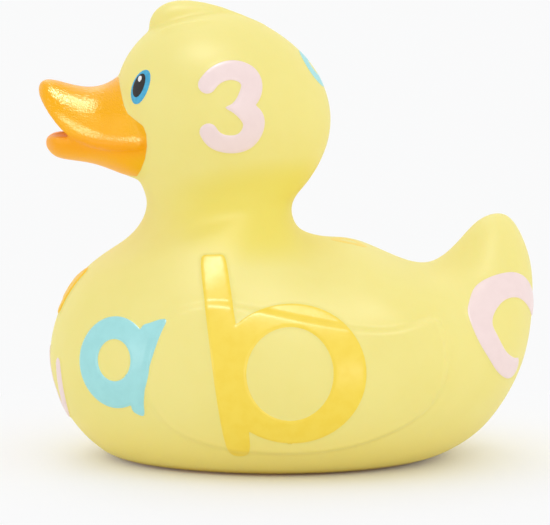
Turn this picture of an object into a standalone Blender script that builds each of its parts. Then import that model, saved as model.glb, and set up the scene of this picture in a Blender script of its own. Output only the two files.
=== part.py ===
"""A rubber bath duck: one hollow vinyl moulding with a bill, a crest, wings and raised figures.

Metres, +Z up. The duck looks along -X, its left side faces -Y, and the origin is at the
middle of the box it fills, on the surface that it stands on.
"""

import math

import bmesh
import bpy
import numpy as np
from mathutils import Matrix, Vector

MM = 0.001

# The wall of the moulding, and the squeeze hole in the middle of its base.
WALL = 2.4
VENT_DIAMETER = 3.0
VENT_X = -1.0

# The body, neck and head are one skin over ribs that fan round the nape. A rib runs from a
# point on the back line to one on the belly line: back x, back z, belly x, belly z, half width.
RIBS = (
    (48.6, 54.3, 48.6, 54.3, 0.0),
    (43.2, 52.9, 52.4, 50.0, 8.0),
    (38.8, 48.3, 54.7, 43.0, 15.0),
    (33.0, 43.3, 55.0, 34.0, 23.0),
    (25.5, 43.5, 53.0, 22.0, 31.0),
    (16.0, 47.8, 46.9, 10.4, 36.5),
    (9.0, 48.8, 36.4, 1.8, 38.5),
    (4.4, 49.9, 14.0, -5.7, 40.0),
    (2.4, 51.6, -14.0, -7.1, 39.5),
    (1.5, 53.8, -38.8, 0.3, 36.6),
    (1.3, 55.6, -50.5, 13.2, 33.2),
    (1.7, 57.4, -52.3, 27.0, 28.5),
    (2.9, 59.4, -45.9, 40.7, 22.4),
    (5.0, 61.9, -35.8, 48.5, 18.0),
    (7.6, 66.1, -31.0, 57.0, 16.5),
    (9.6, 71.8, -34.6, 65.6, 19.0),
    (9.7, 78.6, -37.4, 75.4, 21.5),
    (6.9, 86.0, -37.2, 85.0, 21.0),
    (0.8, 92.8, -33.0, 92.7, 17.0),
    (-8.0, 98.0, -26.4, 97.4, 9.5),
    (-17.0, 99.4, -17.0, 99.4, 0.0),
)
# How far the widest part of a rib lies towards the belly, and how square a rib is.
RIB_LEAN = 0.03
RIB_SQUARENESS = 2.05

# The upper bill: top x, top z, lip x, lip z, half width, from its tip back into the head.
UPPER_BILL = (
    (-55.0, 82.3, -55.0, 82.3, 0.0),
    (-53.5, 84.4, -53.5, 79.3, 4.6),
    (-49.8, 83.9, -49.8, 75.8, 7.2),
    (-44.6, 82.8, -44.6, 72.4, 9.2),
    (-40.2, 83.4, -40.2, 71.2, 11.0),
    (-36.4, 85.7, -36.4, 71.0, 13.0),
    (-30.0, 90.0, -30.0, 71.2, 14.0),
)
PALATE_RISE = 2.6
# The lower bill: rim x, rim z, keel x, keel z, half width, from its tip back into the head.
LOWER_BILL = (
    (-53.4, 70.3, -53.4, 70.3, 0.0),
    (-52.2, 72.0, -52.2, 68.1, 5.0),
    (-49.4, 71.8, -49.4, 66.8, 7.4),
    (-43.4, 71.2, -43.4, 65.9, 9.0),
    (-37.4, 70.8, -37.4, 63.9, 11.6),
    (-30.0, 70.6, -30.0, 61.0, 13.4),
)
BILL_DISH = 1.3
# The rolled lips: x, y, z and radius along one side, from the middle of the tip.
UPPER_LIP = (
    (-54.3, 0.0, 81.9, 0.7),
    (-53.1, 4.0, 79.6, 0.9),
    (-50.2, 6.6, 76.2, 1.2),
    (-46.8, 8.3, 73.4, 1.5),
    (-42.0, 10.0, 71.6, 1.6),
    (-37.0, 12.4, 71.2, 1.5),
    (-31.5, 14.0, 71.4, 1.2),
)

# The crest's locks: x, y, z and radius, from the forehead backwards.
MIDDLE_LOCK = (
    (-25.5, 0.0, 91.0, 2.0),
    (-28.2, 0.0, 94.2, 2.5),
    (-26.6, 0.0, 98.1, 3.7),
    (-21.0, 0.0, 98.9, 3.4),
    (-13.0, 0.0, 97.9, 2.4),
    (-5.0, 0.0, 95.6, 1.2),
)
SIDE_LOCK = (
    (-28.4, 5.0, 92.6, 2.0),
    (-26.4, 7.4, 93.9, 2.8),
    (-22.4, 8.2, 94.9, 3.1),
    (-18.0, 7.9, 95.7, 2.9),
    (-13.6, 6.8, 96.3, 2.0),
    (-9.5, 5.8, 96.3, 0.9),
)

# The wing's outline on the side of the body: x, z.
WING = (
    (-29.6, 28.0),
    (-26.8, 34.0),
    (-20.0, 38.0),
    (-10.5, 38.0),
    (2.0, 35.6),
    (15.5, 33.4),
    (25.0, 35.0),
    (32.6, 36.8),
    (34.6, 32.0),
    (34.2, 24.0),
    (29.5, 15.8),
    (18.0, 9.4),
    (2.0, 6.6),
    (-17.0, 8.2),
    (-26.8, 13.4),
    (-30.2, 20.0),
)
# It stands this far proud at its front and at its tip, and its edge is this wide.
WING_FRONT_RISE = 0.6
WING_TIP_RISE = 1.2
WING_EDGE = 2.8

# The belly is pressed flat where the duck stands, and turns up over this height at the edge.
BASE_TURN = 2.5

# The bill's paint reaches back to here: x, z.
PAINT_EDGE = (
    (-37.0, 85.1),
    (-36.3, 82.2),
    (-35.6, 79.6),
    (-34.7, 77.9),
    (-32.9, 76.6),
    (-31.2, 75.5),
    (-30.6, 73.6),
    (-30.5, 70.9),
    (-31.0, 67.9),
    (-32.0, 65.3),
    (-33.0, 63.5),
)

VINYL = ("vinyl", (0.93, 0.79, 0.30), 0.42)
BILL_PAINT = ("bill_paint", (1.0, 0.42, 0.0), 0.22)

# How finely the skin is made: its voxels, its softening, its triangles and its ribs.
VOXEL = 0.8
SMOOTHING_STEPS = 3
TRIANGLE_COUNT = 9000
RIB_POINT_COUNT = 96
RIB_COUNT = 140
HOLLOW_POINT_COUNT = 32
HOLLOW_RIB_COUNT = 34
# Ribs of less than this half width stay solid, and the hollow ends this far under a tip.
LEAST_HOLLOW_WIDTH = 10.0
TIP_DEPTH = 2.9
BASE_SNAP = 0.03
VENT_SIDES = 24


def natural_spline(rows, positions):
    """Values at the given positions of a natural cubic spline with a knot at each row."""
    rows = np.asarray(rows, float)
    count = len(rows)
    system = np.eye(count)
    right = np.zeros_like(rows)
    for i in range(1, count - 1):
        system[i, i - 1 : i + 2] = 1, 4, 1
        right[i] = 6 * (rows[i + 1] - 2 * rows[i] + rows[i - 1])
    bend = np.linalg.solve(system, right)
    first = np.clip(np.floor(positions).astype(int), 0, count - 2)
    after = (positions - first)[:, None]
    before = 1 - after
    return (
        before * rows[first]
        + after * rows[first + 1]
        + (before**3 - before) * bend[first] / 6
        + (after**3 - after) * bend[first + 1] / 6
    )


def turned_over(row):
    """The row that continues a skin past its closed end: its two lines change places."""
    ax, az, bx, bz, width = row
    return (bx, bz, ax, az, -width)


def ribs_between(rows, count, round_end):
    """Evenly stepped ribs along the rows. A round end runs on as its own mirror image."""
    before = [turned_over(row) for row in rows[2:0:-1]]
    after = [turned_over(row) for row in rows[-2:-4:-1]] if round_end else []
    positions = np.linspace(len(before), len(before) + len(rows) - 1, count)
    return natural_spline([*before, *rows, *after], positions)


def skin_of(rings):
    """One closed skin over a row of rings. A ring without width becomes a single point."""
    shape = bmesh.new()
    loops = []
    for ring in rings:
        if np.ptp(ring, axis=0).max() < 1e-3:
            ring = ring[:1]
        loops.append([shape.verts.new(Vector(point) * MM) for point in ring])
    for low, high in zip(loops, loops[1:]):
        steps = max(len(low), len(high))
        for i in range(steps):
            j = (i + 1) % steps
            corners = [low[i % len(low)], low[j % len(low)], high[j % len(high)], high[i % len(high)]]
            shape.faces.new(list(dict.fromkeys(corners)))
    for loop in (loops[0], loops[-1]):
        if len(loop) > 2:
            shape.faces.new(loop)
    bmesh.ops.recalc_face_normals(shape, faces=shape.faces[:])
    mesh = bpy.data.meshes.new("skin")
    shape.to_mesh(mesh)
    shape.free()
    return mesh


def inset_rib(row):
    """The rib one wall further in."""
    back, belly, width = np.array(row[:2]), np.array(row[2:4]), row[4]
    towards = (belly - back) / np.linalg.norm(belly - back)
    return (*(back + WALL * towards), *(belly - WALL * towards), width - WALL)


def point_under(tip, rib):
    """The closed end of the hollow, under the skin's own tip."""
    start = np.array(tip[:2])
    towards = (np.array(rib[:2]) + np.array(rib[2:4])) / 2 - start
    end = start + TIP_DEPTH * towards / np.linalg.norm(towards)
    return (*end, *end, 0.0)


def hollow_ribs():
    wide = [inset_rib(row) for row in RIBS if row[4] > LEAST_HOLLOW_WIDTH]
    return [point_under(RIBS[0], RIBS[1]), *wide, point_under(RIBS[-1], RIBS[-2])]


def body_rings(rows, count, points):
    """The closed sections of the body, neck and head."""
    angles = np.linspace(0, 2 * math.pi, points, endpoint=False)
    power = 2 / RIB_SQUARENESS
    along = np.sign(np.cos(angles)) * np.abs(np.cos(angles)) ** power
    across = np.sign(np.sin(angles)) * np.abs(np.sin(angles)) ** power
    rings = []
    for back_x, back_z, belly_x, belly_z, width in ribs_between(rows, count, True):
        share = (1 + along) / 2
        x = belly_x + (back_x - belly_x) * share
        z = belly_z + (back_z - belly_z) * share
        y = width * across * (1 - RIB_LEAN * along)
        rings.append(np.column_stack([x, y, z]))
    return rings


def upper_bill_rings():
    angles = np.linspace(0, 2 * math.pi, RIB_POINT_COUNT, endpoint=False)
    rings = []
    for top_x, top_z, lip_x, lip_z, width in ribs_between(UPPER_BILL, 40, False):
        y = width * np.cos(angles)
        dome = np.clip(np.sin(angles), 0, 1)
        roof = np.where(np.sin(angles) < 0, np.sin(angles) ** 2, 0)
        rise = min(PALATE_RISE, 0.3 * (top_z - lip_z))
        z = lip_z + (top_z - lip_z) * dome + rise * roof
        rings.append(np.column_stack([np.full_like(y, (top_x + lip_x) / 2), y, z]))
    return rings


def lower_bill_rings():
    angles = np.linspace(0, 2 * math.pi, RIB_POINT_COUNT, endpoint=False)
    rings = []
    for rim_x, rim_z, keel_x, keel_z, width in ribs_between(LOWER_BILL, 40, False):
        y = width * np.cos(angles)
        keel = np.clip(-np.sin(angles), 0, 1)
        dish = np.where(np.sin(angles) > 0, np.sin(angles) ** 2, 0)
        depth = min(BILL_DISH, 0.4 * (rim_z - keel_z))
        z = rim_z - (rim_z - keel_z) * keel - depth * dish
        rings.append(np.column_stack([np.full_like(y, (rim_x + keel_x) / 2), y, z]))
    return rings


def tube_of(points):
    """A round bar along a smooth curve, its radius given at each point."""
    curve = bpy.data.curves.new("bar", "CURVE")
    curve.dimensions = "3D"
    curve.bevel_depth = MM
    curve.bevel_resolution = 6
    curve.resolution_u = 8
    curve.use_fill_caps = True
    spline = curve.splines.new("NURBS")
    spline.points.add(len(points) - 1)
    for knot, (x, y, z, radius) in zip(spline.points, points):
        knot.co = (x * MM, y * MM, z * MM, 1)
        knot.radius = radius
    spline.use_endpoint_u = True
    spline.order_u = 3
    bar = bpy.data.objects.new("bar", curve)
    bpy.context.scene.collection.objects.link(bar)
    return mesh_of(bar)


def mesh_of(obj):
    """The object's finished mesh, as the modifiers leave it. The object is removed."""
    bpy.context.view_layer.update()
    graph = bpy.context.evaluated_depsgraph_get()
    mesh = bpy.data.meshes.new_from_object(obj.evaluated_get(graph))
    bpy.data.objects.remove(obj)
    return mesh


def mirrored(points):
    """The points of one side, carried on round the middle to the other side."""
    return [(x, -y, z, r) for x, y, z, r in points[:0:-1]] + list(points)


def other_side(points):
    return [(x, -y, z, r) for x, y, z, r in points]


def fused(meshes):
    """One skin round all the meshes, its creases softened."""
    shape = bmesh.new()
    for mesh in meshes:
        shape.from_mesh(mesh)
    whole = bpy.data.meshes.new("whole")
    shape.to_mesh(whole)
    shape.free()
    obj = bpy.data.objects.new("whole", whole)
    bpy.context.scene.collection.objects.link(obj)
    remesh = obj.modifiers.new("fuse", "REMESH")
    remesh.mode = "VOXEL"
    remesh.voxel_size = VOXEL * MM
    smooth = obj.modifiers.new("soften", "SMOOTH")
    smooth.factor = 0.5
    smooth.iterations = SMOOTHING_STEPS
    return mesh_of(obj)


def pressed(heights, floor, turn):
    """Heights with all that lies below the floor brought up to it, and a soft turn between."""
    over = heights - floor
    soft = (over + turn) ** 2 / (4 * turn)
    return floor + np.where(over > turn, over, np.where(over < -turn, 0.0, soft))


def points_of(mesh):
    points = np.empty(len(mesh.vertices) * 3)
    mesh.vertices.foreach_get("co", points)
    return points.reshape(-1, 3) / MM


def normals_of(mesh):
    normals = np.empty(len(mesh.vertices) * 3)
    mesh.vertices.foreach_get("normal", normals)
    return normals.reshape(-1, 3)


def move_points(mesh, points):
    mesh.vertices.foreach_set("co", (points * MM).ravel())
    mesh.update()


def closed_curve(points, steps):
    """A smooth closed line through the points."""
    reach = 3
    rows = [*points[-reach:], *points, *points[:reach]]
    positions = np.linspace(reach, reach + len(points), len(points) * steps, endpoint=False)
    return natural_spline(rows, positions)


def depth_inside(line, at):
    """How deep each place lies inside a closed line, below zero outside."""
    starts, ends = line, np.roll(line, -1, axis=0)
    nearest = np.full(len(at), np.inf)
    crossings = np.zeros(len(at), int)
    for start, end in zip(starts, ends):
        side = end - start
        share = np.clip(((at - start) @ side) / (side @ side), 0, 1)
        nearest = np.minimum(nearest, np.hypot(*(at - start - share[:, None] * side).T))
        spans = (start[1] > at[:, 1]) != (end[1] > at[:, 1])
        if spans.any():
            meets = start[0] + (at[:, 1] - start[1]) / (end[1] - start[1]) * side[0]
            crossings += spans & (at[:, 0] < meets)
    return np.where(crossings % 2 == 1, nearest, -nearest)


def eased(values, low, high):
    share = np.clip((values - low) / (high - low), 0, 1)
    return share * share * (3 - 2 * share)


def raise_wings(mesh):
    points = points_of(mesh)
    line = closed_curve(WING, 12)
    backwards = (points[:, 0] - line[:, 0].min()) / np.ptp(line[:, 0])
    full = WING_FRONT_RISE + (WING_TIP_RISE - WING_FRONT_RISE) * backwards
    rise = full * eased(depth_inside(line, points[:, [0, 2]]), -WING_EDGE / 2, WING_EDGE / 2)
    move_points(mesh, points + rise[:, None] * normals_of(mesh))


def press_base(mesh, floor):
    points = points_of(mesh)
    points[:, 2] = pressed(points[:, 2], floor, BASE_TURN)
    move_points(mesh, points)


def thinned(mesh):
    """The mesh with fewer triangles, and with its base still flat."""
    obj = bpy.data.objects.new("full", mesh)
    bpy.context.scene.collection.objects.link(obj)
    thin = obj.modifiers.new("thin", "DECIMATE")
    mesh.calc_loop_triangles()
    thin.ratio = TRIANGLE_COUNT / len(mesh.loop_triangles)
    result = mesh_of(obj)
    points = points_of(result)
    points[points[:, 2] < BASE_SNAP, 2] = 0.0
    move_points(result, points)
    return result


def material(name, colour, roughness):
    finish = bpy.data.materials.new(name)
    finish.use_nodes = True
    shader = finish.node_tree.nodes["Principled BSDF"]
    shader.inputs["Base Color"].default_value = (*colour, 1)
    shader.inputs["Roughness"].default_value = roughness
    shader.inputs["Metallic"].default_value = 0.0
    return finish


def paint_bill(mesh):
    """Gives the faces in front of the paint's edge the bill's colour."""
    mesh.materials.append(material(*VINYL))
    mesh.materials.append(material(*BILL_PAINT))
    edge_x, edge_z = np.array(PAINT_EDGE).T
    for face in mesh.polygons:
        x, _, z = face.center / MM
        in_front = x < np.interp(z, edge_z[::-1], edge_x[::-1])
        face.material_index = int(edge_z[-1] < z < edge_z[0] and in_front)


def cutter(name, mesh):
    obj = bpy.data.objects.new(name, mesh)
    bpy.context.scene.collection.objects.link(obj)
    obj.hide_render = True
    obj.display_type = "WIRE"
    return obj


def hollow():
    """The air inside, one wall in from the skin all round."""
    rings = body_rings(hollow_ribs(), HOLLOW_RIB_COUNT, HOLLOW_POINT_COUNT)
    mesh = skin_of(rings)
    press_base(mesh, WALL)
    return cutter("hollow", mesh)


def vent():
    """The squeeze hole, from under the base into the hollow."""
    shape = bmesh.new()
    bmesh.ops.create_cone(
        shape,
        cap_ends=True,
        segments=VENT_SIDES,
        radius1=VENT_DIAMETER / 2 * MM,
        radius2=VENT_DIAMETER / 2 * MM,
        depth=4 * WALL * MM,
        matrix=Matrix.Translation((VENT_X * MM, 0, 0)),
    )
    mesh = bpy.data.meshes.new("vent")
    shape.to_mesh(mesh)
    shape.free()
    return cutter("vent", mesh)


def cut(obj, tool):
    boolean = obj.modifiers.new(tool.name, "BOOLEAN")
    boolean.operation = "DIFFERENCE"
    boolean.object = tool


def main():
    for obj in list(bpy.data.objects):
        bpy.data.objects.remove(obj)
    skin = fused(
        [
            skin_of(body_rings(RIBS, RIB_COUNT, RIB_POINT_COUNT)),
            skin_of(upper_bill_rings()),
            skin_of(lower_bill_rings()),
            tube_of(mirrored(UPPER_LIP)),
            tube_of(MIDDLE_LOCK),
            tube_of(SIDE_LOCK),
            tube_of(other_side(SIDE_LOCK)),
        ]
    )
    raise_wings(skin)
    press_base(skin, 0.0)
    skin = thinned(skin)
    paint_bill(skin)
    skin.shade_smooth()
    duck = bpy.data.objects.new("duck", skin)
    bpy.context.scene.collection.objects.link(duck)
    cut(duck, hollow())
    cut(duck, vent())


main()
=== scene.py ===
"""The looks of a rubber bath duck: its vinyl skin, painted bill and eyes, figures, and studio.

The tables are in millimetres and the scene is in metres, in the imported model's frame: the duck
looks along -X, its left side faces -Y, and it stands on z = 0.
"""

import math
from collections import namedtuple

import bmesh
import bpy
import numpy as np
from mathutils import Matrix, Vector


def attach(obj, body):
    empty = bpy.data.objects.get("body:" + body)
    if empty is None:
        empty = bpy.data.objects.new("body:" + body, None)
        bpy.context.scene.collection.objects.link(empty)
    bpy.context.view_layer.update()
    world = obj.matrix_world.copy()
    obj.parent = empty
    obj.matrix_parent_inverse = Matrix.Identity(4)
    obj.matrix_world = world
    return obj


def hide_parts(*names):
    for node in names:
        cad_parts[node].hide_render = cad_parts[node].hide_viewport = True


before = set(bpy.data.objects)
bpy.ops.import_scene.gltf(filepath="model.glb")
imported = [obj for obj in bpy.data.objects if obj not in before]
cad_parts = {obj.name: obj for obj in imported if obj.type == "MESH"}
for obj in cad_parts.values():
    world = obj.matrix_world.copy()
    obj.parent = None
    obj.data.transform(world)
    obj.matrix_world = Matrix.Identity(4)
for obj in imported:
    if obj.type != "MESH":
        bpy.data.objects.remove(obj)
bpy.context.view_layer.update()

MM = 0.001

# The wall of the moulding, and the squeeze hole in the middle of its base.
WALL = 2.4
VENT_DIAMETER = 3.0
VENT_LENGTH = 4 * WALL
VENT_X = -1.0
VENT_SIDES = 24

# The body, neck and head are one skin over ribs that fan round the nape. A rib runs from a
# point on the back line to one on the belly line: back x, back z, belly x, belly z, half width.
RIBS = (
    (48.6, 54.3, 48.6, 54.3, 0.0),
    (43.2, 52.9, 52.4, 50.0, 8.0),
    (38.8, 48.3, 54.7, 43.0, 15.0),
    (33.0, 43.3, 55.0, 34.0, 23.0),
    (25.5, 43.5, 53.0, 22.0, 31.0),
    (16.0, 47.8, 46.9, 10.4, 36.5),
    (9.0, 48.8, 36.4, 1.8, 38.5),
    (4.4, 49.9, 14.0, -5.7, 40.0),
    (2.4, 51.6, -14.0, -7.1, 39.5),
    (1.5, 53.8, -38.8, 0.3, 36.6),
    (1.3, 55.6, -50.5, 13.2, 33.2),
    (1.7, 57.4, -52.3, 27.0, 28.5),
    (2.9, 59.4, -45.9, 40.7, 22.4),
    (5.0, 61.9, -35.8, 48.5, 18.0),
    (7.6, 66.1, -31.0, 57.0, 16.5),
    (9.6, 71.8, -34.6, 65.6, 19.0),
    (9.7, 78.6, -37.4, 75.4, 21.5),
    (6.9, 86.0, -37.2, 85.0, 21.0),
    (0.8, 92.8, -33.0, 92.7, 17.0),
    (-8.0, 98.0, -26.4, 97.4, 9.5),
    (-17.0, 99.4, -17.0, 99.4, 0.0),
)
# How far the widest part of a rib lies towards the belly, and how square a rib is.
RIB_LEAN = 0.03
RIB_SQUARENESS = 2.05

# The upper bill: top x, top z, lip x, lip z, half width, from its tip back into the head.
UPPER_BILL = (
    (-55.0, 82.3, -55.0, 82.3, 0.0),
    (-53.5, 84.4, -53.5, 79.3, 4.6),
    (-49.8, 83.9, -49.8, 75.8, 7.2),
    (-44.6, 82.8, -44.6, 72.4, 9.2),
    (-40.2, 83.4, -40.2, 71.2, 11.0),
    (-36.4, 85.7, -36.4, 71.0, 13.0),
    (-30.0, 90.0, -30.0, 71.2, 14.0),
)
# The palate rises this far between the lips, and by no more than this share of the bill there.
PALATE_RISE = 2.6
PALATE_SHARE = 0.3
# The lower bill: rim x, rim z, keel x, keel z, half width, from its tip back into the head.
LOWER_BILL = (
    (-53.4, 70.3, -53.4, 70.3, 0.0),
    (-52.2, 72.0, -52.2, 68.1, 5.0),
    (-49.4, 71.8, -49.4, 66.8, 7.4),
    (-43.4, 71.2, -43.4, 65.9, 9.0),
    (-37.4, 70.8, -37.4, 63.9, 11.6),
    (-30.0, 70.6, -30.0, 61.0, 13.4),
)
# The floor of the mouth dips this far, and by no more than this share of the bill there.
BILL_DISH = 0.3
DISH_SHARE = 0.4
# The rolled lips: x, y, z and radius along one side, from the middle of the tip.
UPPER_LIP = (
    (-54.3, 0.0, 81.9, 0.7),
    (-53.1, 4.0, 79.6, 0.9),
    (-50.2, 6.6, 76.2, 1.2),
    (-46.8, 8.3, 73.4, 1.5),
    (-42.0, 10.0, 71.6, 1.6),
    (-37.0, 12.4, 71.2, 1.5),
    (-31.5, 14.0, 71.4, 1.2),
)
LOWER_LIP = (
    (-52.7, 0.0, 70.9, 0.9),
    (-51.4, 4.4, 71.4, 1.0),
    (-49.2, 6.6, 71.4, 1.0),
    (-43.4, 8.2, 71.0, 1.0),
    (-37.4, 10.6, 70.6, 1.0),
    (-31.0, 12.6, 70.4, 1.0),
)

# The crest's locks: x, y, z and radius, from the forehead backwards.
MIDDLE_LOCK = (
    (-25.5, 0.0, 91.0, 2.0),
    (-28.2, 0.0, 94.2, 2.5),
    (-26.6, 0.0, 98.1, 3.7),
    (-21.0, 0.0, 98.9, 3.4),
    (-13.0, 0.0, 97.9, 2.4),
    (-5.0, 0.0, 95.6, 1.2),
)
SIDE_LOCK = (
    (-28.4, 5.0, 92.6, 2.0),
    (-26.4, 7.4, 93.9, 2.8),
    (-22.4, 8.2, 94.9, 3.1),
    (-18.0, 7.9, 95.7, 2.9),
    (-13.6, 6.8, 96.3, 2.0),
    (-9.5, 5.8, 96.3, 0.9),
)

# The wing's outline on the side of the body: x, z.
WING = (
    (-29.6, 28.0),
    (-26.8, 34.0),
    (-20.0, 38.0),
    (-10.5, 38.0),
    (2.0, 35.6),
    (15.5, 33.4),
    (25.0, 33.6),
    (31.8, 34.8),
    (34.2, 30.6),
    (34.2, 24.0),
    (29.5, 15.8),
    (18.0, 9.4),
    (2.0, 6.6),
    (-17.0, 8.2),
    (-26.8, 13.4),
    (-30.2, 20.0),
)
# It stands this far proud at its front and at its tip, and its edge is this wide.
WING_FRONT_RISE = 0.7
WING_TIP_RISE = 1.6
WING_EDGE = 2.3

# The belly is pressed flat where the duck stands, and turns up over this height at the edge.
BASE_TURN = 2.5

# The bill's paint reaches back to here on the cheek: x, z. It covers all that is in front.
PAINT_EDGE = (
    (-37.0, 85.1),
    (-36.3, 82.2),
    (-35.6, 79.6),
    (-34.7, 77.9),
    (-32.9, 76.6),
    (-31.2, 75.5),
    (-30.6, 73.6),
    (-30.5, 70.9),
    (-31.0, 67.9),
    (-32.0, 65.3),
    (-33.0, 63.5),
)
PAINT_FRONT = -60.0

# How finely the skin is made: its voxels, its softening, its triangles and its ribs.
VOXEL = 0.5
SMOOTHING_STEPS = 8
SMOOTHING_SHARE = 0.5
TRIANGLE_COUNT = 186000
RIB_POINT_COUNT = 144
RIB_COUNT = 220
BILL_RIB_COUNT = 40
HOLLOW_POINT_COUNT = 32
HOLLOW_RIB_COUNT = 34
# A ring narrower than this is a single point.
LEAST_RING = 0.001
# How finely a lip or a lock is made, round it and along it, and how smoothly it bends.
BAR_ROUNDNESS = 6
BAR_STEPS = 8
BAR_ORDER = 3
# The steps between two points of the wing's outline, a figure's outline and a stroke.
WING_STEPS = 12
OUTLINE_STEPS = 6
STROKE_STEPS = 10
OVAL_POINT_COUNT = 72
# Ribs of less than this half width stay solid, and the hollow ends this far under a tip.
LEAST_HOLLOW_WIDTH = 10.0
TIP_DEPTH = 2.9
# A point this close to the table stands on it.
BASE_SNAP = 0.03

# A figure lies on a plane at its centre, turned about the upright and tipped to face upwards.
# Its shapes are in right and up on that plane, and it stands proud of the skin by its rise.
Figure = namedtuple(
    "Figure",
    "name centre turn lift rise paint strokes outlines rings",
    defaults=((), (), ()),
)
# A stroke is rows of right, up and half width. An outline is points of right and up.
# A ring is an oval and the oval hole in it: middle right, middle up, half width, half height.
THREE = Figure(
    "three",
    centre=(-11.8, -21.5, 80.3),
    turn=8,
    lift=2,
    rise=0.3,
    paint="pink_paint",
    strokes=(
        (
            (-5.3, 4.9, 1.9),
            (-3.2, 7.0, 1.95),
            (0.3, 8.0, 2.1),
            (3.6, 6.8, 2.3),
            (4.5, 4.3, 2.4),
            (3.4, 1.7, 2.2),
            (1.2, 0.2, 1.2),
            (-1.2, -0.1, 0.25),
        ),
        (
            (-1.2, -0.1, 0.25),
            (1.2, -0.4, 1.2),
            (3.9, -1.6, 2.3),
            (4.9, -4.0, 2.4),
            (3.5, -7.0, 2.2),
            (0.3, -8.2, 2.0),
            (-3.2, -7.4, 1.95),
            (-5.0, -5.4, 1.9),
        ),
    ),
)
LETTER_A = Figure(
    "letter_a",
    centre=(-37.6, -29.7, 25.9),
    turn=-38,
    lift=7,
    rise=0.3,
    paint="blue_paint",
    outlines=(
        (
            (5.6, 7.0),
            (7.2, 8.7),
            (9.2, 9.6),
            (11.3, 9.8),
            (11.1, 7.2),
            (10.2, 3.0),
            (9.1, -1.4),
            (7.9, -5.6),
            (7.1, -9.0),
            (6.6, -11.4),
            (5.0, -11.3),
            (3.9, -10.2),
            (4.2, -6.5),
            (4.9, 0.0),
        ),
    ),
    rings=(((-0.6, -0.5, 9.9, 10.0), (-0.1, 0.0, 4.45, 4.6)),),
)
LETTER_B = Figure(
    "letter_b",
    centre=(-2.4, -40.5, 24.5),
    turn=-4,
    lift=9,
    rise=0.3,
    paint="orange_paint",
    outlines=(
        (
            (-17.0, 24.0),
            (-16.0, 25.8),
            (-13.2, 25.9),
            (-11.5, 24.3),
            (-9.8, 16.0),
            (-8.2, 8.0),
            (-7.0, 0.0),
            (-6.2, -8.0),
            (-5.6, -15.0),
            (-6.6, -17.6),
            (-9.0, -17.8),
            (-10.6, -16.4),
            (-11.8, -11.0),
            (-13.3, -1.0),
            (-14.6, 8.0),
            (-15.9, 16.5),
        ),
    ),
    rings=(((3.3, 0.2, 16.35, 15.1), (3.2, 0.1, 9.4, 10.1)),),
)
LETTER_C = Figure(
    "letter_c",
    centre=(49.7, -21.4, 33.1),
    turn=60,
    lift=9,
    rise=0.3,
    paint="pink_paint",
    strokes=(
        (
            (14.9, 1.9, 2.1),
            (11.2, 4.5, 2.75),
            (6.7, 7.0, 2.95),
            (3.2, 7.9, 2.8),
            (0.0, 7.75, 2.55),
            (-3.2, 6.6, 2.25),
            (-6.5, 4.5, 2.1),
            (-8.8, 2.4, 2.3),
            (-9.8, 0.1, 2.5),
            (-9.6, -2.3, 2.7),
            (-8.2, -5.0, 2.55),
            (-6.0, -7.4, 2.4),
            (-3.0, -9.1, 2.3),
            (0.4, -10.1, 2.2),
            (2.9, -10.2, 2.05),
        ),
    ),
)
FOUR = Figure(
    "four",
    centre=(-47.2, 3.2, 37.6),
    turn=-90,
    lift=30,
    rise=0.45,
    paint="amber_paint",
    strokes=(
        ((7.6, 4.2, 1.9), (7.6, -4.2, 1.9)),
        ((7.2, 4.5, 1.6), (0.0, -1.5, 1.6)),
        ((0.0, -1.7, 1.6), (7.6, -1.7, 1.6)),
    ),
)
LETTER_U = Figure(
    "letter_u",
    centre=(-50.0, 0.0, 18.0),
    turn=-90,
    lift=-12,
    rise=0.3,
    paint="pink_paint",
    strokes=(
        (
            (-2.4, 5.5, 1.6),
            (-2.0, 0.0, 1.6),
            (-0.9, -3.6, 1.6),
            (1.5, -6.2, 1.6),
            (5.0, -7.2, 1.6),
            (8.6, -6.2, 1.6),
            (11.3, -3.6, 1.6),
            (12.8, -0.4, 1.6),
            (13.4, 2.4, 1.5),
            (13.4, 4.6, 1.3),
        ),
    ),
)
NOUGHT = Figure(
    "nought",
    centre=(6.4, 0.0, 86.3),
    turn=90,
    lift=38,
    rise=0.0,
    paint="blue_paint",
    rings=(((0.0, 0.9, 6.4, 4.9), (0.0, 0.9, 2.6, 1.9)),),
)
SMALL_NOUGHT = Figure(
    "small_nought",
    centre=(14.4, 0.0, 48.2),
    turn=90,
    lift=74,
    rise=0.0,
    paint="orange_paint",
    rings=(((0.0, 0.2, 4.4, 4.2), (0.0, 0.2, 2.0, 1.9)),),
)
FIGURES = (THREE, LETTER_A, LETTER_B, LETTER_C, FOUR, LETTER_U, NOUGHT, SMALL_NOUGHT)
# A figure takes in only the skin this close to its centre, and its raised edge is this wide.
FIGURE_REACH = 34.0
FIGURE_EDGE = 1.0
# The skin counts as facing a plane above this cosine, and its depth there falls off this fast.
LEAST_FACING = 0.06
FACING_STEEPNESS = 20.0

# The eye's plane, the skin that it takes in, and its patches: middle right and up, half width,
# half height, and the angle that the patch's top leans to the right.
EYE_CENTRE = (-31.7, -14.7, 84.1)
EYE_TURN = -49
EYE_LIFT = 11
EYE_REACH = 9.0
EYE_PATCHES = (
    ("iris", (-0.5, 0.0, 2.65, 4.1, 25), "eye_blue"),
    ("pupil", (-0.85, 0.3, 1.75, 2.8, 22), "eye_black"),
    ("glint", (-0.75, 1.75, 0.62, 0.72, 0), "eye_white"),
)

# A film of paint is this thick above and below the skin, and thins out over this much at its
# rim. Points closer than this become one, and an edge sharper than this angle shows.
PAINT_ABOVE = 0.06
PAINT_BELOW = 0.12
PAINT_RIM = 0.35
PAINT_MERGE = 0.02
PAINT_SHARP_ANGLE = 50

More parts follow.
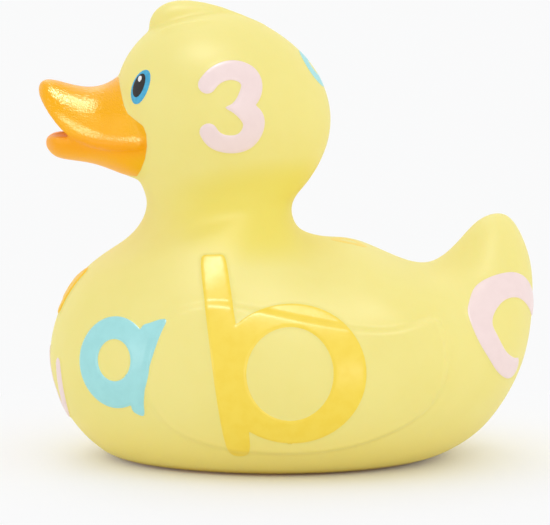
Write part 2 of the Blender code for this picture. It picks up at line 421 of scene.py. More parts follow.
# The camera looks along +Y and this many degrees down, from this far, over a sensor this wide.
# Its frame is so many pixels wide, and a pixel is this large at the duck.
CAMERA_LIFT = 7.5
CAMERA_DISTANCE = 1000.0
CAMERA_TARGET = (-2.4, 0.0, 43.4)
PHOTO_WIDTH = 550
MM_PER_PIXEL = 0.2234
SENSOR = 36.0

# The finishes' colours, as linear light.
VINYL_PALE = (0.895, 0.795, 0.275, 1)
VINYL_DEEP = (0.88, 0.775, 0.25, 1)
# Painted shade: round the neck under the head, the table's warm bounce low down, and the contact line
# at the base.
VINYL_NECK_SHADE = (0.865, 0.735, 0.145, 1)
VINYL_LOW_SHADE = (0.94, 0.79, 0.23, 1)
VINYL_CONTACT_SHADE = (0.85, 0.60, 0.09, 1)
# The painted shade round the neck, as X and Z, and how it fades. The belly's painted warm shade
# and the base rim's painted contact shade fade between these heights. A cloud or a mottle is
# its size and its finer detail.
NECK_SHADE_CENTRE = (-2.0, 57.0)
NECK_SHADE_REACH = (29.0, 12.5)
NECK_SHADE_FADE = (0.1, 1.0)
LOW_SHADE_HEIGHTS = (1.0, 16.0)
CONTACT_SHADE_HEIGHTS = (0.2, 2.0)
VINYL_CLOUD = (22.0, 2.0)
VINYL_MOTTLE = (3.0, 4.0)
CLOUD_SHARE = 0.8
CLOUD_FADE = (0.3, 0.7)
# How light sinks into the vinyl: its share, its reach in red, green and blue, and their scale.
VINYL_DEPTH = 0.15
VINYL_DEPTH_REACH = (1.0, 0.7, 0.25)
VINYL_DEPTH_SCALE = 1.5
BILL_ORANGE = (1.0, 0.46, 0.001, 1)
BILL_AMBER = (0.95, 0.47, 0.001, 1)
# Painted shade inside the mouth.
BILL_MOUTH_SHADE = (1.0, 0.30, 0.001, 1)
BILL_SHEEN = (1.0, 0.95, 0.6, 1)
# The bill's paint thins between these X towards the cheek, in a line as uneven as its mottle.
BILL_THIN = (-36.0, -31.0)
BILL_MOTTLE = (4.0, 3.0)
BILL_UNEVEN = 2.0
# Painted shade deepens inside the mouth and fades again between these heights, and below the lip the
# gloss is less.
MOUTH_BOTTOM = (67.0, 70.5)
MOUTH_TOP = (71.5, 74.0)
MOUTH_SHADE_SHARE = 0.4
LIP_HEIGHTS = (76.0, 79.0)
LIP_DULLNESS = 0.22
# A paint's two shades, and the record's slot for it.
FIGURE_PAINTS = {
    "pink_paint": ((0.90, 0.73, 0.71, 1), (0.88, 0.71, 0.69, 1), "pink_paint"),
    "blue_paint": ((0.38, 0.76, 0.77, 1), (0.36, 0.73, 0.74, 1), "blue_paint"),
    "orange_paint": ((0.95, 0.72, 0.09, 1), (0.93, 0.69, 0.075, 1), "orange_paint"),
    "amber_paint": ((0.98, 0.60, 0.03, 1), (0.95, 0.56, 0.02, 1), "orange_paint"),
}
EYE_SHADES = {
    "eye_blue": ((0.07, 0.45, 0.72, 1), (0.05, 0.36, 0.60, 1)),
    "eye_black": ((0.022, 0.02, 0.02, 1), (0.014, 0.013, 0.013, 1)),
    "eye_white": ((0.9, 0.9, 0.9, 1), (0.84, 0.85, 0.86, 1)),
}
# The patches where the paint covers more or less, and how its two shades mix.
FIGURE_COVER = (2.5, 4.0)
EYE_COVER = (1.2, 3.0)
COVER_FADE = (0.35, 0.7)
# A finish's reflection, its roughness and what its mottle adds to that, and the grain's size,
# its finer detail and its depth.
Gloss = namedtuple("Gloss", "reflection roughness mottle grain detail depth")
VINYL_GLOSS = Gloss(0.11, 0.46, 0.06, grain=0.35, detail=3.0, depth=0.004)
BILL_GLOSS = Gloss(0.36, 0.16, 0.08, grain=0.35, detail=1.0, depth=0.12)
FIGURE_GLOSS = Gloss(0.17, 0.32, 0.10, grain=0.4, detail=2.0, depth=0.015)
EYE_GLOSS = Gloss(0.3, 0.18, 0.10, grain=0.4, detail=2.0, depth=0.003)

BACKGROUND = (0.955, 0.957, 0.96, 1)
FLOOR_WHITE = (0.925, 0.924, 0.935, 1)
FLOOR_PAINTED_BOUNCE = (0.90, 0.66, 0.22, 1)
# The oval of floor under the duck where the vinyl's warm bounce light is painted: middle X, reach
# in X and Y, and how it fades in shares of that reach.
BOUNCE_CENTRE = -3.0
BOUNCE_REACH = (32.0, 26.0)
BOUNCE_FADE = (1.0, 1.12)
# The table's radius in metres, and the distances over which it turns into the background.
FLOOR_RADIUS = 6.0
FLOOR_SIDES = 96
FLOOR_ROUGHNESS = 0.9
FLOOR_FADE = (14.0, 108.0)
ROOM_LIGHT = (1.0, 1.0, 1.0, 1)
ROOM_STRENGTH = 0.985
# The lamps: name, place, width and height in metres, power in watts, and whether the lamp
# shows only in gloss.
LAMPS = (
    ("overhead", (-0.15, -0.33, 1.12), (0.46, 0.52), 32.0, True),
    ("left", (-0.92, -0.66, 0.135), (0.12, 0.26), 4.0, True),
    ("front", (0.22, -1.11, 0.21), (0.22, 0.22), 4.5, True),
    ("right", (1.05, -0.60, 0.60), (0.90, 0.90), 1.1, False),
    ("back", (-0.20, 0.90, 0.90), (0.60, 0.60), 1.5, False),
)


def natural_spline(rows, positions):
    """Values at the given positions of a natural cubic spline with a knot at each row."""
    rows = np.asarray(rows, float)
    count = len(rows)
    system = np.eye(count)
    right = np.zeros_like(rows)
    for i in range(1, count - 1):
        system[i, i - 1 : i + 2] = 1, 4, 1
        right[i] = 6 * (rows[i + 1] - 2 * rows[i] + rows[i - 1])
    bend = np.linalg.solve(system, right)
    first = np.clip(np.floor(positions).astype(int), 0, count - 2)
    after = (positions - first)[:, None]
    before = 1 - after
    return (
        before * rows[first]
        + after * rows[first + 1]
        + (before**3 - before) * bend[first] / 6
        + (after**3 - after) * bend[first + 1] / 6
    )


def turned_over(row):
    """The row that continues a skin past its closed end: its two lines change places."""
    ax, az, bx, bz, width = row
    return (bx, bz, ax, az, -width)


def ribs_between(rows, count, round_end):
    """Evenly stepped ribs along the rows. A round end runs on as its own mirror image."""
    before = [turned_over(row) for row in rows[2:0:-1]]
    after = [turned_over(row) for row in rows[-2:-4:-1]] if round_end else []
    positions = np.linspace(len(before), len(before) + len(rows) - 1, count)
    return natural_spline([*before, *rows, *after], positions)


def mesh_from(shape, name):
    """A mesh of the shape, which is freed."""
    mesh = bpy.data.meshes.new(name)
    shape.to_mesh(mesh)
    shape.free()
    return mesh


def skin_of(rings):
    """One closed skin over a row of rings. A ring without width becomes a single point."""
    shape = bmesh.new()
    loops = []
    for ring in rings:
        if np.ptp(ring, axis=0).max() < LEAST_RING:
            ring = ring[:1]
        loops.append([shape.verts.new(Vector(point) * MM) for point in ring])
    for low, high in zip(loops, loops[1:]):
        steps = max(len(low), len(high))
        for here in range(steps):
            there = (here + 1) % steps
            corners = [low[here % len(low)], low[there % len(low)]]
            corners += [high[there % len(high)], high[here % len(high)]]
            shape.faces.new(list(dict.fromkeys(corners)))
    for loop in (loops[0], loops[-1]):
        if len(loop) > 2:
            shape.faces.new(loop)
    bmesh.ops.recalc_face_normals(shape, faces=shape.faces[:])
    return mesh_from(shape, "skin")


def inset_rib(row):
    """The rib one wall further in."""
    back, belly, width = np.array(row[:2]), np.array(row[2:4]), row[4]
    towards = (belly - back) / np.linalg.norm(belly - back)
    return (*(back + WALL * towards), *(belly - WALL * towards), width - WALL)


def point_under(tip, rib):
    """The closed end of the hollow, under the skin's own tip."""
    start = np.array(tip[:2])
    towards = (np.array(rib[:2]) + np.array(rib[2:4])) / 2 - start
    end = start + TIP_DEPTH * towards / np.linalg.norm(towards)
    return (*end, *end, 0.0)


def hollow_ribs():
    """The ribs of the air inside, from under the tail's tip to under the top of the head."""
    wide = [inset_rib(row) for row in RIBS if row[4] > LEAST_HOLLOW_WIDTH]
    return [point_under(RIBS[0], RIBS[1]), *wide, point_under(RIBS[-1], RIBS[-2])]


def angles_round(count):
    return np.linspace(0, 2 * math.pi, count, endpoint=False)


def body_rings(rows, count, points):
    """The closed sections of the body, neck and head."""
    angles = angles_round(points)
    power = 2 / RIB_SQUARENESS
    along = np.sign(np.cos(angles)) * np.abs(np.cos(angles)) ** power
    across = np.sign(np.sin(angles)) * np.abs(np.sin(angles)) ** power
    rings = []
    for back_x, back_z, belly_x, belly_z, width in ribs_between(rows, count, True):
        share = (1 + along) / 2
        x = belly_x + (back_x - belly_x) * share
        z = belly_z + (back_z - belly_z) * share
        y = width * across * (1 - RIB_LEAN * along)
        rings.append(np.column_stack([x, y, z]))
    return rings


def upper_bill_rings():
    """Domed sections over a hollowed palate."""
    angles = angles_round(RIB_POINT_COUNT)
    rings = []
    for top_x, top_z, lip_x, lip_z, width in ribs_between(UPPER_BILL, BILL_RIB_COUNT, False):
        y = width * np.cos(angles)
        dome = np.clip(np.sin(angles), 0, 1)
        roof = np.where(np.sin(angles) < 0, np.sin(angles) ** 2, 0)
        rise = min(PALATE_RISE, PALATE_SHARE * (top_z - lip_z))
        z = lip_z + (top_z - lip_z) * dome + rise * roof
        rings.append(np.column_stack([np.full_like(y, (top_x + lip_x) / 2), y, z]))
    return rings


def lower_bill_rings():
    """Keeled sections under a slightly dished floor."""
    angles = angles_round(RIB_POINT_COUNT)
    rings = []
    for rim_x, rim_z, keel_x, keel_z, width in ribs_between(LOWER_BILL, BILL_RIB_COUNT, False):
        y = width * np.cos(angles)
        keel = np.clip(-np.sin(angles), 0, 1)
        dish = np.where(np.sin(angles) > 0, np.sin(angles) ** 2, 0)
        depth = min(BILL_DISH, DISH_SHARE * (rim_z - keel_z))
        z = rim_z - (rim_z - keel_z) * keel - depth * dish
        rings.append(np.column_stack([np.full_like(y, (rim_x + keel_x) / 2), y, z]))
    return rings


def tube_of(points):
    """A round bar along a smooth curve, its radius given at each point."""
    curve = bpy.data.curves.new("bar", "CURVE")
    curve.dimensions = "3D"
    curve.bevel_depth = MM
    curve.bevel_resolution = BAR_ROUNDNESS
    curve.resolution_u = BAR_STEPS
    curve.use_fill_caps = True
    spline = curve.splines.new("NURBS")
    spline.points.add(len(points) - 1)
    for knot, (x, y, z, radius) in zip(spline.points, points):
        knot.co = (x * MM, y * MM, z * MM, 1)
        knot.radius = radius
    spline.use_endpoint_u = True
    spline.order_u = BAR_ORDER
    return mesh_of(placed("bar", curve))


def placed(name, data):
    """A new object in the scene, at the origin."""
    obj = bpy.data.objects.new(name, data)
    bpy.context.scene.collection.objects.link(obj)
    return obj


def mesh_of(obj):
    """The object's finished mesh, as the modifiers leave it. The object is removed."""
    bpy.context.view_layer.update()
    graph = bpy.context.evaluated_depsgraph_get()
    mesh = bpy.data.meshes.new_from_object(obj.evaluated_get(graph))
    bpy.data.objects.remove(obj)
    return mesh


def other_side(points):
    return [(x, -y, z, radius) for x, y, z, radius in points]


def mirrored(points):
    """The points of one side, carried on round the middle to the other side."""
    return [*other_side(points[:0:-1]), *points]


def fused(meshes):
    """One skin round all the meshes, its creases softened."""
    shape = bmesh.new()
    for mesh in meshes:
        shape.from_mesh(mesh)
    obj = placed("whole", mesh_from(shape, "whole"))
    remesh = obj.modifiers.new("fuse", "REMESH")
    remesh.mode = "VOXEL"
    remesh.voxel_size = VOXEL * MM
    smooth = obj.modifiers.new("soften", "SMOOTH")
    smooth.factor = SMOOTHING_SHARE
    smooth.iterations = SMOOTHING_STEPS
    return mesh_of(obj)


def pressed(heights, floor, turn):
    """Heights with all that lies below the floor brought up to it, and a soft turn between."""
    over = heights - floor
    soft = (over + turn) ** 2 / (4 * turn)
    return floor + np.where(over > turn, over, np.where(over < -turn, 0.0, soft))


def points_of(mesh):
    points = np.empty(len(mesh.vertices) * 3)
    mesh.vertices.foreach_get("co", points)
    return points.reshape(-1, 3) / MM


def normals_of(mesh):
    normals = np.empty(len(mesh.vertices) * 3)
    mesh.vertices.foreach_get("normal", normals)
    return normals.reshape(-1, 3)


def move_points(mesh, points):
    mesh.vertices.foreach_set("co", (points * MM).ravel())
    mesh.update()


def closed_curve(points, steps):
    """A smooth closed line through the points."""
    reach = 3
    rows = [*points[-reach:], *points, *points[:reach]]
    positions = np.linspace(reach, reach + len(points), len(points) * steps, endpoint=False)
    return natural_spline(rows, positions)


def depth_inside(line, at):
    """How deep each place lies inside a closed line, below zero outside."""
    nearest = np.full(len(at), np.inf)
    crossings = np.zeros(len(at), int)
    for start, end in zip(line, np.roll(line, -1, axis=0)):
        side = end - start
        share = np.clip(((at - start) @ side) / (side @ side), 0, 1)
        nearest = np.minimum(nearest, np.hypot(*(at - start - share[:, None] * side).T))
        spans = (start[1] > at[:, 1]) != (end[1] > at[:, 1])
        if spans.any():
            meets = start[0] + (at[:, 1] - start[1]) / (end[1] - start[1]) * side[0]
            crossings += spans & (at[:, 0] < meets)
    return np.where(crossings % 2 == 1, nearest, -nearest)


def eased(values, low, high):
    """0 below the low value, 1 above the high one, and a soft turn from one to the other."""
    share = np.clip((values - low) / (high - low), 0, 1)
    return share * share * (3 - 2 * share)


def raise_wings(mesh):
    points = points_of(mesh)
    line = closed_curve(WING, WING_STEPS)
    backwards = (points[:, 0] - line[:, 0].min()) / np.ptp(line[:, 0])
    full = WING_FRONT_RISE + (WING_TIP_RISE - WING_FRONT_RISE) * backwards
    rise = full * eased(depth_inside(line, points[:, [0, 2]]), -WING_EDGE / 2, WING_EDGE / 2)
    move_points(mesh, points + rise[:, None] * normals_of(mesh))


def press_base(mesh, floor):
    points = points_of(mesh)
    points[:, 2] = pressed(points[:, 2], floor, BASE_TURN)
    move_points(mesh, points)


def thinned(mesh):
    """The mesh with fewer triangles, and with its base still flat."""
    obj = placed("full", mesh)
    thin = obj.modifiers.new("thin", "DECIMATE")
    mesh.calc_loop_triangles()
    thin.ratio = TRIANGLE_COUNT / len(mesh.loop_triangles)
    result = mesh_of(obj)
    points = points_of(result)
    points[points[:, 2] < BASE_SNAP, 2] = 0.0
    move_points(result, points)
    return result


def hollow():
    """The air inside, one wall in from the skin all round."""
    mesh = skin_of(body_rings(hollow_ribs(), HOLLOW_RIB_COUNT, HOLLOW_POINT_COUNT))
    press_base(mesh, WALL)
    return placed("hollow", mesh)


def vent():
    """The squeeze hole, from under the base into the hollow."""
    shape = bmesh.new()
    bmesh.ops.create_cone(
        shape,
        cap_ends=True,
        segments=VENT_SIDES,
        radius1=VENT_DIAMETER / 2 * MM,
        radius2=VENT_DIAMETER / 2 * MM,
        depth=VENT_LENGTH * MM,
        matrix=Matrix.Translation((VENT_X * MM, 0, 0)),
    )
    return placed("vent", mesh_from(shape, "vent"))


def opened(mesh):
    """The skin with the hollow inside it, and the squeeze hole into that."""
    duck = placed("opened", mesh)
    tools = [hollow(), vent()]
    for tool in tools:
        cut = duck.modifiers.new(tool.name, "BOOLEAN")
        cut.operation = "DIFFERENCE"
        cut.solver = "MANIFOLD"
        cut.object = tool
    result = mesh_of(duck)
    for tool in tools:
        bpy.data.objects.remove(tool)
    return result


def axes_of(turn, lift):
    """The right, up and outward directions of a figure's plane."""
    turn, lift = math.radians(turn), math.radians(lift)
    right = np.array([math.cos(turn), math.sin(turn), 0.0])
    level = np.array([math.sin(turn), -math.cos(turn), 0.0])
    out = level * math.cos(lift) + np.array([0.0, 0.0, math.sin(lift)])
    return right, np.cross(out, right), out


def oval_line(middle_right, middle_up, half_width, half_height):
    angles = angles_round(OVAL_POINT_COUNT)
    right = middle_right + half_width * np.cos(angles)
    up = middle_up + half_height * np.sin(angles)
    return np.column_stack([right, up])


def depth_in_stroke(rows, at):
    """How deep each place lies inside a smooth stroke, below zero outside."""
    last = len(rows) - 1
    line = natural_spline(rows, np.linspace(0, last, STROKE_STEPS * last + 1))
    deepest = np.full(len(at), -np.inf)
    for start, end in zip(line, line[1:]):
        side = end[:2] - start[:2]
        share = np.clip(((at - start[:2]) @ side) / (side @ side), 0, 1)
        away = np.hypot(*(at - start[:2] - share[:, None] * side).T)
        deepest = np.maximum(deepest, start[2] + share * (end[2] - start[2]) - away)
    return deepest


def depth_in_ring(ring, at):
    outer, hole = ring
    return np.minimum(depth_inside(oval_line(*outer), at), -depth_inside(oval_line(*hole), at))


def depth_in_figure(figure, at):
    """How deep each place lies in the deepest of the figure's shapes."""
    depths = [depth_in_stroke(rows, at) for rows in figure.strokes]
    for points in figure.outlines:
        depths.append(depth_inside(closed_curve(points, OUTLINE_STEPS), at))
    for ring in figure.rings:
        depths.append(depth_in_ring(ring, at))
    return np.max(depths, axis=0)


class Skin:
    """The skin's points and triangles, and the paint that lies on them."""

    def __init__(self, mesh):
        self.points = points_of(mesh)
        self.normals = normals_of(mesh)
        mesh.calc_loop_triangles()
        corners = np.empty(len(mesh.loop_triangles) * 3, int)
        mesh.loop_triangles.foreach_get("vertices", corners)
        self.triangles = corners.reshape(-1, 3)

    def on_plane(self, centre, turn, lift, reach, depth):
        """A depth on a plane's own right and up, only where the skin is near and faces it."""
        right, up, out = axes_of(turn, lift)
        away = self.points - centre
        facing = self.normals @ out
        near = (np.linalg.norm(away, axis=1) < reach) & (facing > 0)
        depths = np.full(len(away), -1.0)
        at = np.column_stack([away[near] @ right, away[near] @ up])
        depths[near] = np.minimum(depth(at), FACING_STEEPNESS * (facing[near] - LEAST_FACING))
        return depths

    def in_figure(self, figure):
        def depth(at):
            return depth_in_figure(figure, at)

        return self.on_plane(figure.centre, figure.turn, figure.lift, FIGURE_REACH, depth)

    def in_patch(self, patch, side):
        """A leaning oval on the eye's plane, on the side of the head that is asked for."""
        right, up, half_width, half_height, lean = patch
        lean = math.radians(lean)

        def depth(at):
            away = at - (right, up)
            across = (away[:, 0] * math.cos(lean) - away[:, 1] * math.sin(lean)) / half_width
            along = (away[:, 0] * math.sin(lean) + away[:, 1] * math.cos(lean)) / half_height
            return (1 - np.hypot(across, along)) * half_width

        def mirrored_depth(at):
            return depth(at * (-1, 1))

        x, y, z = EYE_CENTRE
        if side == "left":
            return self.on_plane((x, y, z), EYE_TURN, EYE_LIFT, EYE_REACH, depth)
        turn = 180 - EYE_TURN
        return self.on_plane((x, -y, z), turn, EYE_LIFT, EYE_REACH, mirrored_depth)

    def in_bill(self):
        """How far each point lies in front of the paint's edge, seen from the side."""
        front = [(PAINT_FRONT, PAINT_EDGE[-1][1]), (PAINT_FRONT, PAINT_EDGE[0][1])]
        return depth_inside(np.array([*PAINT_EDGE, *front]), self.points[:, [0, 2]])

    def film(self, name, depth, layer=0):
        """A closed film of paint where the depth is above zero, cut off sharp at its edge."""
        shape = bmesh.new()
        made = {}

        def corner(low, high):
            """The skin's own point, or the place where the paint's edge crosses a side."""
            if (low, high) not in made:
                share = 0.0 if low == high else depth[low] / (depth[low] - depth[high])
                normal = self.normals[low] + share * (self.normals[high] - self.normals[low])
                deep = depth[low] + share * (depth[high] - depth[low])
                place = self.points[low] + share * (self.points[high] - self.points[low])
                rise = PAINT_ABOVE * (layer + eased(deep, -PAINT_RIM / 2, PAINT_RIM))
                made[low, high] = shape.verts.new((place + normal * rise) * MM)
            return made[low, high]

        inside = depth > 0
        for triangle in self.triangles[inside[self.triangles].any(axis=1)].tolist():
            face = []
            for start, end in zip(triangle, triangle[1:] + triangle[:1]):
                if inside[start]:
                    face.append(corner(start, start))
                if inside[start] != inside[end]:
                    face.append(corner(min(start, end), max(start, end)))
            shape.faces.new(face)
        bmesh.ops.remove_doubles(shape, verts=shape.verts[:], dist=PAINT_MERGE * MM)
        sheet = placed(name, mesh_from(shape, name))
        thick = sheet.modifiers.new("thickness", "SOLIDIFY")
        thick.thickness = ((layer + 1) * PAINT_ABOVE + PAINT_BELOW) * MM
        thick.offset = -1
        mesh = mesh_of(sheet)
        mesh.shade_smooth()
        mesh.set_sharp_from_angle(angle=math.radians(PAINT_SHARP_ANGLE))
        return placed(name, mesh)


class Level:
    """A number that changes over a surface. Python's operators add its Math nodes."""

    def __init__(self, nodes, socket):
        self.nodes = nodes
        self.socket = socket

    def maths(self, operation, first, second):
        return self.nodes.node("ShaderNodeMath", {"operation": operation}, {0: first, 1: second})

    def __add__(self, other):
        return self.maths("ADD", self, other)

    def __radd__(self, other):
        return self.maths("ADD", other, self)

    def __sub__(self, other):
        return self.maths("SUBTRACT", self, other)

    def __rsub__(self, other):
        return self.maths("SUBTRACT", other, self)

    def __mul__(self, other):
        return self.maths("MULTIPLY", self, other)

    def __rmul__(self, other):
        return self.maths("MULTIPLY", other, self)

    def __truediv__(self, other):
        return self.maths("DIVIDE", self, other)

    def __pow__(self, other):
        return self.maths("POWER", self, other)


class Nodes:
    """A node tree, and the one way in which its nodes are made."""

    def __init__(self, tree):
        self.tree = tree

    def feed(self, node, values):
        for name, value in values.items():
            if isinstance(value, Level):
                self.tree.links.new(value.socket, node.inputs[name])
            else:
                node.inputs[name].default_value = value

    def node(self, kind, settings=(), values=(), output=0):
        node = self.tree.nodes.new(kind)
        for name, value in dict(settings).items():
            setattr(node, name, value)
        self.feed(node, dict(values))
        return Level(self, node.outputs[output])


class Finish(Nodes):
    """A material on Object coordinates, and what is the same all over it."""

    def __init__(self, name, reflection, fixed=()):
        self.material = bpy.data.materials.new(name)
        self.material.use_nodes = True
        super().__init__(self.material.node_tree)
        self.shader = self.tree.nodes["Principled BSDF"]
        self.feed(self.shader, {"Specular IOR Level": reflection, **dict(fixed)})
        self.place = self.node("ShaderNodeTexCoord", output="Object")

    def noise(self, size, detail):
        """Soft blotches about as large as the size, from 0 to 1."""
        values = {"Vector": self.place, "Scale": 1 / (size * MM), "Detail": detail}
        return self.node("ShaderNodeTexNoise", values=values)

    def between(self, level, low, high):
        """The level from low to high, spread over 0 to 1 and held there."""
        values = {0: level, 1: low, 2: high, 3: 0.0, 4: 1.0}
        return self.node("ShaderNodeMapRange", {"interpolation_type": "SMOOTHSTEP"}, values)

    def mixed(self, share, low, high):
        values = {0: share, 6: low, 7: high}
        return self.node("ShaderNodeMix", {"data_type": "RGBA"}, values, output=2)

    def part_of_place(self, axis):
        return self.node("ShaderNodeSeparateXYZ", values={0: self.place}, output=axis) / MM

    def finished(self, gloss, colour, roughness):
        """The material with its colour, its roughness and the bump of its grain."""
        height = self.noise(gloss.grain, gloss.detail)
        values = {"Height": height, "Strength": 1.0, "Distance": gloss.depth * MM}
        bump = self.node("ShaderNodeBump", values=values)
        self.feed(self.shader, {"Base Color": colour, "Roughness": roughness, "Normal": bump})
        return self.material


def seen_rays(nodes):
    """1 for what the camera sees, by itself, in gloss or through glass, and 0 for other light."""
    kinds = ("Is Camera Ray", "Is Glossy Ray", "Is Transmission Ray")
    camera, gloss, glass = (nodes.node("ShaderNodeLightPath", output=kind) for kind in kinds)
    return camera.maths("MAXIMUM", camera.maths("MAXIMUM", camera, gloss), glass)


def soft_vinyl():
    """Pale yellow vinyl with a fine satin grain, painted shade warmer low down and deeper round the
    neck.
    """
    gloss = VINYL_GLOSS
    fixed = {
        "Subsurface Weight": VINYL_DEPTH,
        "Subsurface Radius": VINYL_DEPTH_REACH,
        "Subsurface Scale": VINYL_DEPTH_SCALE * MM,
    }
    finish = Finish("soft_vinyl", gloss.reflection, fixed)
    # Masks of the painted shade: round the neck, low down, and along the base's rim.
    behind = (finish.part_of_place("X") - NECK_SHADE_CENTRE[0]) / NECK_SHADE_REACH[0]
    height = finish.part_of_place("Z")
    above = (height - NECK_SHADE_CENTRE[1]) / NECK_SHADE_REACH[1]
    neck = 1 - finish.between(behind * behind + above * above, *NECK_SHADE_FADE)
    low = 1 - finish.between(height, *LOW_SHADE_HEIGHTS)
    rim = 1 - finish.between(height, *CONTACT_SHADE_HEIGHTS)
    cloud = finish.noise(*VINYL_CLOUD)
    mottle = finish.noise(*VINYL_MOTTLE)
    blotches = CLOUD_SHARE * cloud + (1 - CLOUD_SHARE) * mottle
    colour = finish.mixed(finish.between(blotches, *CLOUD_FADE), VINYL_DEEP, VINYL_PALE)
    for share, tint in ((neck, VINYL_NECK_SHADE), (low, VINYL_LOW_SHADE), (rim, VINYL_CONTACT_SHADE)):
        colour = finish.mixed(share, colour, tint)
    return finish.finished(gloss, colour, gloss.roughness + gloss.mottle * mottle)


def bill_paint():
    """Glossy orange paint over the vinyl's grain, with painted shade deeper inside the mouth."""
    gloss = BILL_GLOSS
    finish = Finish("bill_paint", gloss.reflection, {"Specular Tint": BILL_SHEEN})
    height = finish.part_of_place("Z")
    behind = finish.part_of_place("X")
    mottle = finish.noise(*BILL_MOTTLE)
    thin = finish.between(behind + BILL_UNEVEN * mottle, *BILL_THIN)
    # Painted shade inside the mouth.
    mouth = finish.between(height, *MOUTH_BOTTOM) * (1 - finish.between(height, *MOUTH_TOP))
    lip = 1 - finish.between(height, *LIP_HEIGHTS)
    lit = finish.mixed(thin, BILL_ORANGE, BILL_AMBER)
    colour = finish.mixed(MOUTH_SHADE_SHARE * mouth, lit, BILL_MOUTH_SHADE)
    roughness = gloss.roughness + gloss.mottle * mottle + LIP_DULLNESS * lip
    return finish.finished(gloss, colour, roughness)


def uneven_paint(name, gloss, cover, pale, deep):
    """A paint of two close shades, a little rougher where it is deeper."""
    finish = Finish(name, gloss.reflection)
    mottle = finish.noise(*cover)
    colour = finish.mixed(finish.between(mottle, *COVER_FADE), pale, deep)
    return finish.finished(gloss, colour, gloss.roughness + gloss.mottle * mottle)


def shown(piece, material):
    """The piece in its finish, riding with the duck."""
    piece.data.materials.clear()
    piece.data.materials.append(material)
    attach(piece, "root")


def raise_figures(mesh):
    skin = Skin(mesh)
    points = skin.points
    for figure in FIGURES:
        rise = figure.rise * eased(skin.in_figure(figure), -FIGURE_EDGE / 2, FIGURE_EDGE / 2)
        points = points + rise[:, None] * skin.normals
    move_points(mesh, points)


def moulded_skin():
    """The outside of the moulding, with its wings, its raised figures and its flat base."""
    mesh = fused(
        [
            skin_of(body_rings(RIBS, RIB_COUNT, RIB_POINT_COUNT)),
            skin_of(upper_bill_rings()),
            skin_of(lower_bill_rings()),
            tube_of(mirrored(UPPER_LIP)),
            tube_of(mirrored(LOWER_LIP)),
            tube_of(MIDDLE_LOCK),
            tube_of(SIDE_LOCK),
            tube_of(other_side(SIDE_LOCK)),
        ]
    )
    raise_wings(mesh)
    raise_figures(mesh)
    press_base(mesh, 0.0)
    mesh = thinned(mesh)
    mesh.shade_smooth()
    return mesh


def paint_figures(skin):
    paints = {}
    for name, (pale, deep, _) in FIGURE_PAINTS.items():
        paints[name] = uneven_paint(name, FIGURE_GLOSS, FIGURE_COVER, pale, deep)
    for figure in FIGURES:
        film = skin.film(figure.name, skin.in_figure(figure))
        shown(film, paints[figure.paint])


def paint_eyes(skin):
    paints = {}
    for name, (pale, deep) in EYE_SHADES.items():
        paints[name] = uneven_paint(name, EYE_GLOSS, EYE_COVER, pale, deep)
    for side in ("left", "right"):
        for layer, (part, patch, slot) in enumerate(EYE_PATCHES):
            film = skin.film(f"{side}_{part}", skin.in_patch(patch, side), layer)
            shown(film, paints[slot])


def duck():
    mesh = moulded_skin()
    skin = Skin(mesh)
    paint_figures(skin)
    shown(skin.film("bill_coat", skin.in_bill()), bill_paint())
    paint_eyes(skin)
    body = opened(mesh)
    body.shade_smooth()
    moulding = placed("duck_skin", body)
    shown(moulding, soft_vinyl())
    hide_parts("duck")


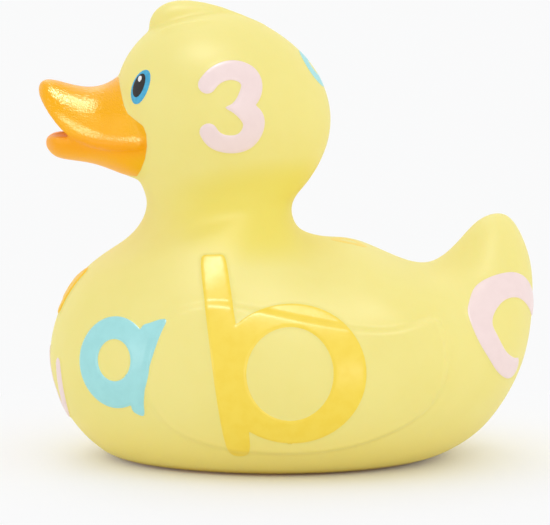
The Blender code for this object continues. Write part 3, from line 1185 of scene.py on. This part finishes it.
def floor():
    """A pale table: painted warm bounce under the duck, true shadows round it, plain white beyond."""
    shape = bmesh.new()
    bmesh.ops.create_circle(shape, cap_ends=True, segments=FLOOR_SIDES, radius=FLOOR_RADIUS)
    table = placed("table", mesh_from(shape, "table"))
    finish = Finish("white_table", 0.0, {"Roughness": FLOOR_ROUGHNESS})
    x, y = finish.part_of_place("X"), finish.part_of_place("Y")
    away = (x * x + y * y) ** 0.5
    # Painted warm bounce light from the vinyl on the floor under the duck.
    along, across = (x - BOUNCE_CENTRE) / BOUNCE_REACH[0], y / BOUNCE_REACH[1]
    past_bounce = finish.between((along * along + across * across) ** 0.5, *BOUNCE_FADE)
    finish.feed(finish.shader, {"Base Color": finish.mixed(past_bounce, FLOOR_PAINTED_BOUNCE, FLOOR_WHITE)})
    plain = finish.node("ShaderNodeEmission", values={"Color": BACKGROUND, "Strength": 1.0})
    share = seen_rays(finish) * finish.between(away, *FLOOR_FADE)
    lit = Level(finish, finish.shader.outputs["BSDF"])
    surface = finish.node("ShaderNodeMixShader", values={0: share, 1: lit, 2: plain})
    finish.feed(finish.tree.nodes["Material Output"], {"Surface": surface})
    table.data.materials.append(finish.material)


def surroundings():
    """A white room, in whose place the camera and reflections see the plain background."""
    world = bpy.data.worlds.new("white_room")
    world.use_nodes = True
    bpy.context.scene.world = world
    room = Nodes(world.node_tree)
    light = room.node("ShaderNodeBackground", values={"Color": ROOM_LIGHT, "Strength": ROOM_STRENGTH})
    plain = room.node("ShaderNodeBackground", values={"Color": BACKGROUND, "Strength": 1.0})
    both = room.node("ShaderNodeMixShader", values={0: seen_rays(room), 1: light, 2: plain})
    room.feed(world.node_tree.nodes["World Output"], {"Surface": both})


def lamps():
    for name, place, (width, height), power, gloss_only in LAMPS:
        lamp = bpy.data.lights.new(name, "AREA")
        lamp.shape = "ELLIPSE"
        lamp.size = width
        lamp.size_y = height
        lamp.energy = power
        stand = placed(name, lamp)
        stand.visible_diffuse = not gloss_only
        stand.location = Vector(place)
        towards = Vector(CAMERA_TARGET) * MM - stand.location
        stand.rotation_euler = towards.to_track_quat("-Z", "Y").to_euler()


def camera():
    lift = math.radians(CAMERA_LIFT)
    lens = bpy.data.cameras.new("camera")
    lens.sensor_width = SENSOR
    lens.lens = SENSOR * CAMERA_DISTANCE / (PHOTO_WIDTH * MM_PER_PIXEL)
    eye = placed("camera", lens)
    back = Vector((0, -math.cos(lift), math.sin(lift))) * CAMERA_DISTANCE
    eye.location = (Vector(CAMERA_TARGET) + back) * MM
    eye.rotation_euler = (math.radians(90) - lift, 0, 0)
    bpy.context.scene.camera = eye


duck()
floor()
surroundings()
lamps()
camera()
bpy.context.scene.view_settings.view_transform = "Standard"
